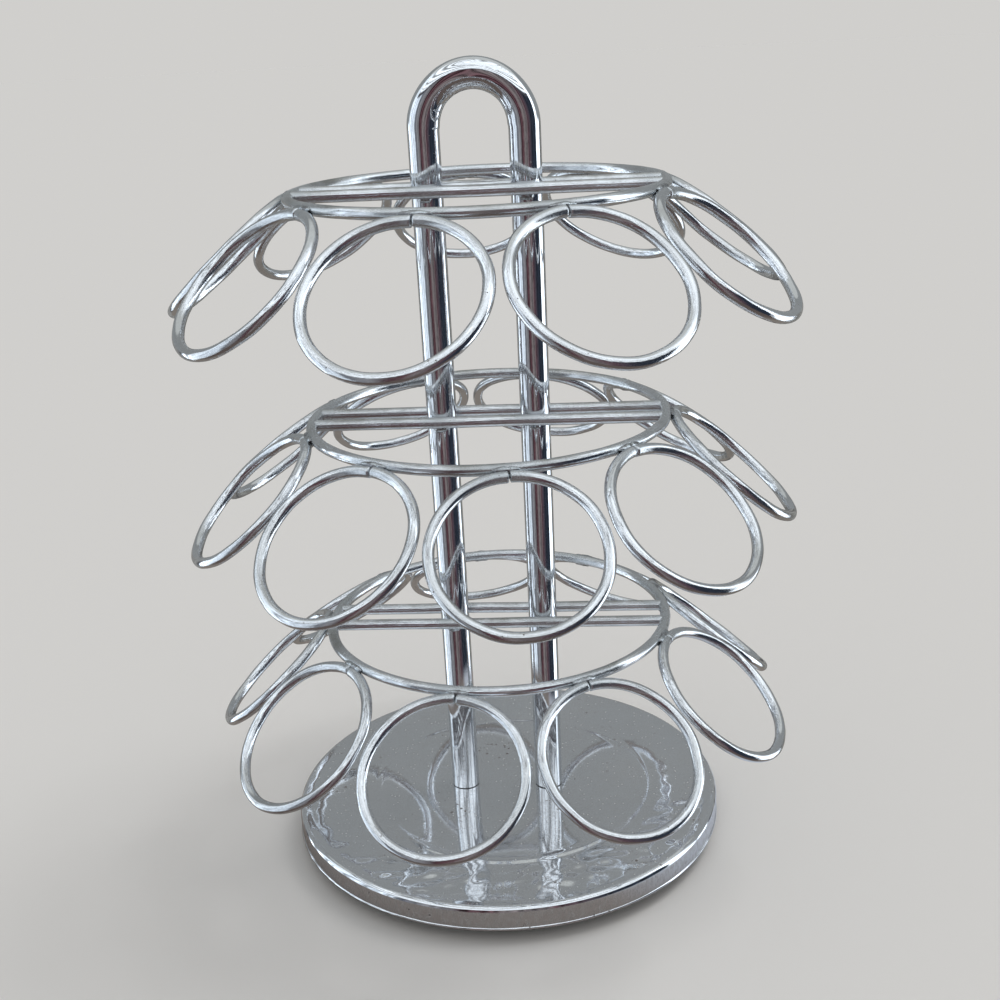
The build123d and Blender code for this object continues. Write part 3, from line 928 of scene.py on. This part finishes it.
class CAROUSEL_OT_stage(bpy.types.Operator):
    """Set up the pale floor, the soft lights, the surroundings that the chrome reflects, and the camera"""

    bl_idname = "carousel.stage"
    bl_label = "Stage"

    def execute(self, context):
        self.floor()
        self.lights()
        self.surroundings()
        self.camera()
        return {"FINISHED"}

    def floor(self):
        """A round floor, pale to the eye.  The chrome sees a brown table top, with a painted pool of window
        light on its +X side, and the room past its edge.
        """
        stage = settings().stage
        turn = np.linspace(0, 2 * np.pi, 96, endpoint=False)
        edge = np.stack([np.cos(turn), np.sin(turn), np.zeros(len(turn))], axis=1) * FLOOR_RADIUS
        mesh = bpy.data.meshes.new("floor")
        mesh.from_pydata(edge.tolist(), [], [list(range(len(turn)))])
        material, shade = new_material("pale_floor")
        mirrored = shade.add("LightPath", None, None, "Is Glossy Ray")
        x, y, _ = shade.add("TexCoord", None, None, "Object").parts()
        away = shade.math("SQRT", x * x + y * y).ease(0.105, 0.125)
        # Only reflections see this: a brown table top, with a painted pool of bluish window light on its +X
        # side.
        reflected_table_and_light_pool = shade.blend(x.ease(0.045, 0.09), (0.34, 0.30, 0.275, 1.0), (0.68, 0.72, 0.80, 1.0))
        colour = shade.blend(mirrored, rgba(stage.floor), reflected_table_and_light_pool)
        pale = shade.add("BsdfDiffuse", None, {"Color": colour})
        clear = shade.add("BsdfTransparent")
        surface = shade.add("MixShader", None, {0: mirrored * away, 1: pale, 2: clear})
        shade.add("OutputMaterial", None, {"Surface": surface})
        mesh.materials.append(material)
        floor = bpy.data.objects.new("floor", mesh)
        bpy.context.scene.collection.objects.link(floor)

    def lights(self):
        """One broad, soft light from behind on the right.  The room lights the rest."""
        lamp = bpy.data.lights.new("key_light", "SUN")
        lamp.energy = settings().stage.key_power
        lamp.angle = KEY_SPREAD
        light = bpy.data.objects.new("key_light", lamp)
        light.matrix_world = look_along(KEY_DIRECTION)
        light.visible_glossy = False
        bpy.context.scene.collection.objects.link(light)

    def surroundings(self):
        """A room by direction: bright windows left and right, a dark side in front, a pale wall behind.

        The ramp runs once round the horizon: from behind, past the left, the front and the right, to behind.
        """
        world = bpy.data.worlds.new("room")
        bpy.context.scene.world = world
        world.use_nodes = True
        world.node_tree.nodes.clear()
        shade = Shade(world.node_tree)
        x, y, z = shade.add("TexCoord", None, None, "Generated").parts()
        bearing = shade.math("ARCTAN2", x, y * -1.0) / (2 * math.pi) + 0.5
        stops = [
            (0.00, (0.08, 0.08, 0.08)),
            (0.05, (0.24, 0.24, 0.23)),
            (0.14, (0.30, 0.30, 0.29)),
            (0.165, (0.04, 0.04, 0.05)),
            (0.18, (1.60, 1.78, 1.95)),
            (0.25, (1.30, 1.46, 1.60)),
            (0.26, (0.22, 0.25, 0.29)),
            (0.275, (1.00, 1.12, 1.25)),
            (0.35, (0.60, 0.67, 0.74)),
            (0.36, (0.04, 0.04, 0.06)),
            (0.375, (0.26, 0.27, 0.29)),
            (0.43, (0.20, 0.19, 0.20)),
            (0.44, (0.07, 0.035, 0.042)),
            (0.48, (0.12, 0.06, 0.07)),
            (0.50, (0.19, 0.165, 0.165)),
            (0.56, (0.16, 0.135, 0.14)),
            (0.57, (0.11, 0.06, 0.07)),
            (0.61, (0.08, 0.06, 0.075)),
            (0.64, (0.03, 0.035, 0.05)),
            (0.74, (0.02, 0.03, 0.045)),
            (0.75, (2.0, 2.18, 2.35)),
            (0.84, (2.0, 2.18, 2.35)),
            (0.85, (0.05, 0.05, 0.06)),
            (0.88, (0.28, 0.28, 0.26)),
            (0.95, (0.24, 0.24, 0.23)),
            (1.00, (0.08, 0.08, 0.08)),
        ]
        line = {"noise_dimensions": "1D"}
        streaks = shade.add("TexNoise", line, {"W": bearing, "Scale": 75.0, "Detail": 3.0})
        strength = (streaks - 0.5) * 4 + 1
        shown = shade.math("MAXIMUM", strength, 0.3)
        around = shade.add("ValToRGB", {"stops": stops}, {"Fac": bearing}).times(shown)
        right = bearing.ease(0.74, 0.75) * (1 - bearing.ease(0.84, 0.85))
        left = bearing.ease(0.175, 0.185) * (1 - bearing.ease(0.25, 0.26))
        window = right + left
        cornice = shade.blend(z.ease(0.40, 0.44) * (1 - window), around, (0.07, 0.07, 0.08, 1.0))
        beams = shade.add("TexNoise", line, {"W": z + bearing * 0.4, "Scale": 17.0, "Detail": 3.0})
        bright = shade.blend(beams.ease(0.36, 0.56), (0.34, 0.36, 0.37, 1.0), (1.50, 1.60, 1.68, 1.0))
        front = shade.blend(z.ease(0.47, 0.52) * (1 - window * z.ease(0.8, 0.7)), cornice, bright)
        wall = shade.blend(z.ease(0.64, 0.67), (0.285, 0.303, 0.309, 1.0), (0.66, 0.69, 0.68, 1.0))
        above = shade.blend(y.ease(0.10, 0.40) * z.ease(-0.05, 0.08), front, wall)
        below = shade.blend(y.ease(-0.1, 0.3), (0.12, 0.095, 0.085, 1.0), (0.24, 0.215, 0.19, 1.0))
        room = shade.blend(z.ease(-0.64, -0.54), below, above)
        stage = settings().stage
        key = stage.key_power / (math.pi * math.hypot(*KEY_DIRECTION))
        backdrop = rgba([channel * (SKYLIGHT + key) for channel in stage.floor])
        seen = shade.add("LightPath", None, None, "Is Camera Ray")
        mirrored = shade.add("LightPath", None, None, "Is Glossy Ray")
        colour = shade.blend(seen, shade.blend(mirrored, rgba([SKYLIGHT] * 3), room), backdrop)
        background = shade.add("Background", None, {"Color": colour, "Strength": 1.0})
        shade.add("OutputWorld", None, {"Surface": background})

    def camera(self):
        """A camera a little above the object and to the right of its middle, looking down at it."""
        lens = bpy.data.cameras.new("camera")
        lens.lens = settings().stage.lens
        lens.shift_y = CAMERA_SHIFT
        lens.clip_start = 0.01
        camera = bpy.data.objects.new("camera", lens)
        camera.location = CAMERA_PLACE
        camera.rotation_euler = CAMERA_TURN
        bpy.context.scene.collection.objects.link(camera)
        bpy.context.scene.camera = camera
        bpy.context.scene.view_settings.view_transform = "Standard"


def arc(r, z, radius, start, stop, steps):
    """Points of an arc in a section, from one angle to another in degrees."""
    angles = np.radians(np.linspace(start, stop, steps))
    return list(zip(r + radius * np.cos(angles), z + radius * np.sin(angles)))


def waves(x, y, draw, count, shortest, longest):
    """A sum of plane waves, cos(k.x + phase), with seeded directions and lengths, about 1 high."""
    lengths = draw.uniform(shortest, longest, count)
    headings = draw.uniform(0, np.pi, count)
    phases = draw.uniform(0, 2 * np.pi, count)
    kx = 2 * np.pi / lengths * np.cos(headings)
    ky = 2 * np.pi / lengths * np.sin(headings)
    each = np.cos(np.multiply.outer(x, kx) + np.multiply.outer(y, ky) + phases)
    return each.sum(-1) * math.sqrt(2 / count)


def look_along(direction):
    """The turn that points a light's or camera's -Z along a direction."""
    back = -np.array(direction) / np.linalg.norm(direction)
    right = np.cross(UP, back)
    right /= np.linalg.norm(right)
    turned = np.eye(4)
    turned[:3, :3] = np.stack([right, np.cross(back, right), back], axis=1)
    return Matrix(turned.tolist())


class CAROUSEL_PT_panel(bpy.types.Panel):
    """The carousel's pieces and settings"""

    bl_idname = "CAROUSEL_PT_panel"
    bl_label = "Pod Carousel"
    bl_space_type = "VIEW_3D"
    bl_region_type = "UI"
    bl_category = "Pod Carousel"

    def draw(self, context):
        for operator in OPERATORS:
            self.layout.operator(operator.bl_idname)
        for group in (settings().wire, settings().pan, settings().finish, settings().stage):
            box = self.layout.box()
            for name in group.__annotations__:
                box.prop(group, name)


OPERATORS = (
    CAROUSEL_OT_rings,
    CAROUSEL_OT_hoops,
    CAROUSEL_OT_bars,
    CAROUSEL_OT_post_frame,
    CAROUSEL_OT_pan,
    CAROUSEL_OT_welds,
    CAROUSEL_OT_hardware,
    CAROUSEL_OT_stage,
)
SETTINGS = (WireSettings, PanSettings, FinishSettings, StageSettings, CarouselSettings)
CLASSES = (*SETTINGS, *OPERATORS, CAROUSEL_PT_panel)


def register():
    for one in CLASSES:
        bpy.utils.register_class(one)
    bpy.types.Scene.carousel = PointerProperty(type=CarouselSettings)


def unregister():
    del bpy.types.Scene.carousel
    for one in reversed(CLASSES):
        bpy.utils.unregister_class(one)


def main():
    register()
    bpy.ops.carousel.rings()
    bpy.ops.carousel.hoops()
    bpy.ops.carousel.bars()
    bpy.ops.carousel.post_frame()
    bpy.ops.carousel.pan()
    bpy.ops.carousel.welds()
    bpy.ops.carousel.hardware()
    bpy.ops.carousel.stage()


if __name__ == "__main__":
    main()
